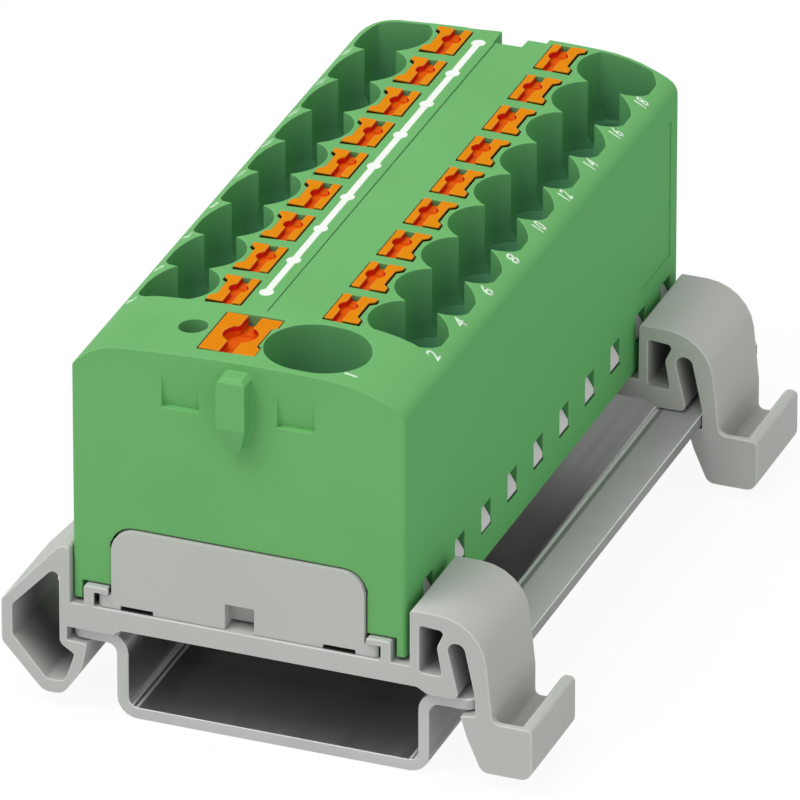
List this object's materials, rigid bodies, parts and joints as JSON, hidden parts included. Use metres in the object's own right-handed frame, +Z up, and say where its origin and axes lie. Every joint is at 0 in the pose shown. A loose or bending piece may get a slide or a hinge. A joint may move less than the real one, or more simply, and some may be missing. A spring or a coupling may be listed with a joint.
{
  "type": "power distribution block",
  "caption": "Push-in distribution block with an arched top, rows of round wire entries with release buttons, and two spring feet clipped to a short top-hat rail.",
  "frame": {"origin": "on the rail's underside, midway between its edges and between the housing's front and rear", "axes": "+X across the rail towards the feet's pull tabs, +Y along the rail away from the key rib, +Z up"},
  "size_m": [0.0458, 0.068, 0.0343],
  "materials": {
    "housing": "satin",
    "grey_moulding": "satin",
    "release_button": "satin",
    "rail": "zinc plated",
    "busbar": "tinned copper alloy",
    "spring": "spring steel"
  },
  "bodies": {
    "block": {"housing": "housing", "base": "grey_moulding", "front_adapter": "grey_moulding", "rear_adapter": "grey_moulding", "busbar": "busbar", "supply_spring": "spring", "spring_01": "spring", "spring_02": "spring", "spring_03": "spring", "spring_04": "spring", "spring_05": "spring", "spring_06": "spring", "spring_07": "spring", "spring_08": "spring", "spring_09": "spring", "spring_10": "spring", "spring_11": "spring", "spring_12": "spring", "spring_13": "spring", "spring_14": "spring", "spring_15": "spring", "spring_16": "spring", "spring_17": "spring", "spring_18": "spring"},
    "rail": {"din_rail": "rail"},
    "supply_button": {"supply_button": "release_button"},
    "button_01": {"button_01": "release_button"},
    "button_02": {"button_02": "release_button"},
    "button_03": {"button_03": "release_button"},
    "button_04": {"button_04": "release_button"},
    "button_05": {"button_05": "release_button"},
    "button_06": {"button_06": "release_button"},
    "button_07": {"button_07": "release_button"},
    "button_08": {"button_08": "release_button"},
    "button_09": {"button_09": "release_button"},
    "button_10": {"button_10": "release_button"},
    "button_11": {"button_11": "release_button"},
    "button_12": {"button_12": "release_button"},
    "button_13": {"button_13": "release_button"},
    "button_14": {"button_14": "release_button"},
    "button_15": {"button_15": "release_button"},
    "button_16": {"button_16": "release_button"},
    "button_17": {"button_17": "release_button"},
    "button_18": {"button_18": "release_button"}
  },
  "joints": [
    {"name": "rail_slide", "type": "slide", "parent": "block", "child": "rail", "axis": [0, 1, 0], "range_m": [-0.008, 0.008]},
    {"name": "supply_press", "type": "slide", "parent": "block", "child": "supply_button", "axis": [0, 0, -1], "range_m": [0, 0.002], "stiffness_N_per_m": 4000, "deforming": ["supply_spring"]},
    {"name": "press_01", "type": "slide", "parent": "block", "child": "button_01", "axis": [0, 0, -1], "range_m": [0, 0.0015], "stiffness_N_per_m": 2500, "deforming": ["spring_01"]},
    {"name": "press_02", "type": "slide", "parent": "block", "child": "button_02", "axis": [0, 0, -1], "range_m": [0, 0.0015], "stiffness_N_per_m": 2500, "deforming": ["spring_02"]},
    {"name": "press_03", "type": "slide", "parent": "block", "child": "button_03", "axis": [0, 0, -1], "range_m": [0, 0.0015], "stiffness_N_per_m": 2500, "deforming": ["spring_03"]},
    {"name": "press_04", "type": "slide", "parent": "block", "child": "button_04", "axis": [0, 0, -1], "range_m": [0, 0.0015], "stiffness_N_per_m": 2500, "deforming": ["spring_04"]},
    {"name": "press_05", "type": "slide", "parent": "block", "child": "button_05", "axis": [0, 0, -1], "range_m": [0, 0.0015], "stiffness_N_per_m": 2500, "deforming": ["spring_05"]},
    {"name": "press_06", "type": "slide", "parent": "block", "child": "button_06", "axis": [0, 0, -1], "range_m": [0, 0.0015], "stiffness_N_per_m": 2500, "deforming": ["spring_06"]},
    {"name": "press_07", "type": "slide", "parent": "block", "child": "button_07", "axis": [0, 0, -1], "range_m": [0, 0.0015], "stiffness_N_per_m": 2500, "deforming": ["spring_07"]},
    {"name": "press_08", "type": "slide", "parent": "block", "child": "button_08", "axis": [0, 0, -1], "range_m": [0, 0.0015], "stiffness_N_per_m": 2500, "deforming": ["spring_08"]},
    {"name": "press_09", "type": "slide", "parent": "block", "child": "button_09", "axis": [0, 0, -1], "range_m": [0, 0.0015], "stiffness_N_per_m": 2500, "deforming": ["spring_09"]},
    {"name": "press_10", "type": "slide", "parent": "block", "child": "button_10", "axis": [0, 0, -1], "range_m": [0, 0.0015], "stiffness_N_per_m": 2500, "deforming": ["spring_10"]},
    {"name": "press_11", "type": "slide", "parent": "block", "child": "button_11", "axis": [0, 0, -1], "range_m": [0, 0.0015], "stiffness_N_per_m": 2500, "deforming": ["spring_11"]},
    {"name": "press_12", "type": "slide", "parent": "block", "child": "button_12", "axis": [0, 0, -1], "range_m": [0, 0.0015], "stiffness_N_per_m": 2500, "deforming": ["spring_12"]},
    {"name": "press_13", "type": "slide", "parent": "block", "child": "button_13", "axis": [0, 0, -1], "range_m": [0, 0.0015], "stiffness_N_per_m": 2500, "deforming": ["spring_13"]},
    {"name": "press_14", "type": "slide", "parent": "block", "child": "button_14", "axis": [0, 0, -1], "range_m": [0, 0.0015], "stiffness_N_per_m": 2500, "deforming": ["spring_14"]},
    {"name": "press_15", "type": "slide", "parent": "block", "child": "button_15", "axis": [0, 0, -1], "range_m": [0, 0.0015], "stiffness_N_per_m": 2500, "deforming": ["spring_15"]},
    {"name": "press_16", "type": "slide", "parent": "block", "child": "button_16", "axis": [0, 0, -1], "range_m": [0, 0.0015], "stiffness_N_per_m": 2500, "deforming": ["spring_16"]},
    {"name": "press_17", "type": "slide", "parent": "block", "child": "button_17", "axis": [0, 0, -1], "range_m": [0, 0.0015], "stiffness_N_per_m": 2500, "deforming": ["spring_17"]},
    {"name": "press_18", "type": "slide", "parent": "block", "child": "button_18", "axis": [0, 0, -1], "range_m": [0, 0.0015], "stiffness_N_per_m": 2500, "deforming": ["spring_18"]}
  ]
}
